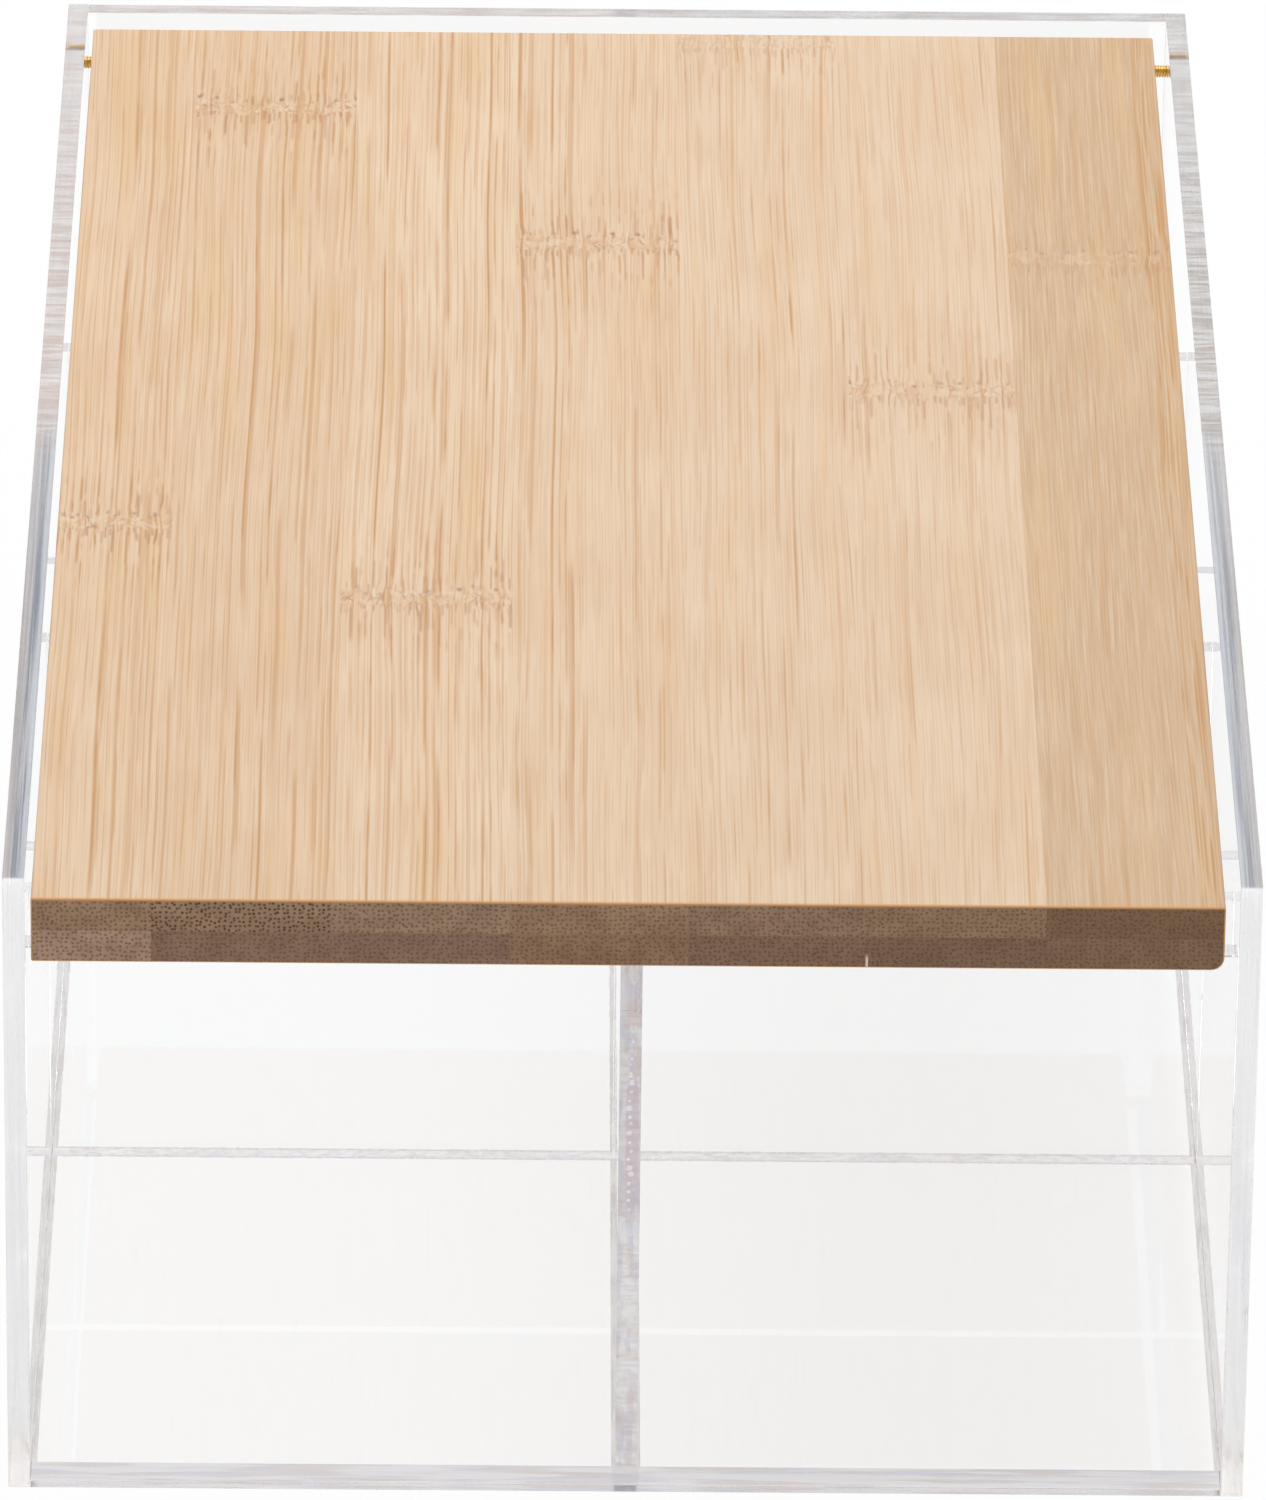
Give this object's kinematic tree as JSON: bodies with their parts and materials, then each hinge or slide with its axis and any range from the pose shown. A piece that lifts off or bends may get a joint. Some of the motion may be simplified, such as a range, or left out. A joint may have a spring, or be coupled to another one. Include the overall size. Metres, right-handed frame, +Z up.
{
  "type": "tea bag organizer box",
  "caption": "Clear sheet box with open-topped pockets for tea bags and a hinged lid of laminated bamboo strips.",
  "frame": {"origin": "middle of the underside, halfway between the lid's front edge and the outside of the back panel", "axes": "+X to the right, +Y from the front to the back, where the hinge is, +Z up"},
  "size_m": [0.17, 0.2916, 0.095],
  "materials": {
    "clear_acrylic": "clear, colourless, polished sheet",
    "bamboo_upper": "sanded, thin clear lacquer",
    "bamboo_lower": "sanded, thin clear lacquer",
    "brass": "bright turned metal"
  },
  "bodies": {
    "case": {"base_panel": "clear_acrylic", "front_panel": "clear_acrylic", "back_panel": "clear_acrylic", "left_side_panel": "clear_acrylic", "right_side_panel": "clear_acrylic", "centre_divider": "clear_acrylic", "front_cross_divider": "clear_acrylic", "rear_cross_divider": "clear_acrylic", "left_lid_rest": "clear_acrylic", "right_lid_rest": "clear_acrylic"},
    "lid": {"upper_strip_1": "bamboo_upper", "upper_strip_2": "bamboo_upper", "upper_strip_3": "bamboo_upper", "upper_strip_4": "bamboo_upper", "upper_strip_5": "bamboo_upper", "upper_strip_6": "bamboo_upper", "upper_strip_7": "bamboo_upper", "lower_strip_1": "bamboo_lower", "lower_strip_2": "bamboo_lower", "lower_strip_3": "bamboo_lower", "lower_strip_4": "bamboo_lower", "lower_strip_5": "bamboo_lower", "lower_strip_6": "bamboo_lower", "lower_strip_7": "bamboo_lower", "left_hinge_screw": "brass", "right_hinge_screw": "brass"}
  },
  "joints": [
    {"name": "lid_hinge", "type": "hinge", "parent": "case", "child": "lid", "pos_m": [0, 0.1333, 0.091], "axis": [-1, 0, 0], "range_deg": [0, 135]}
  ]
}
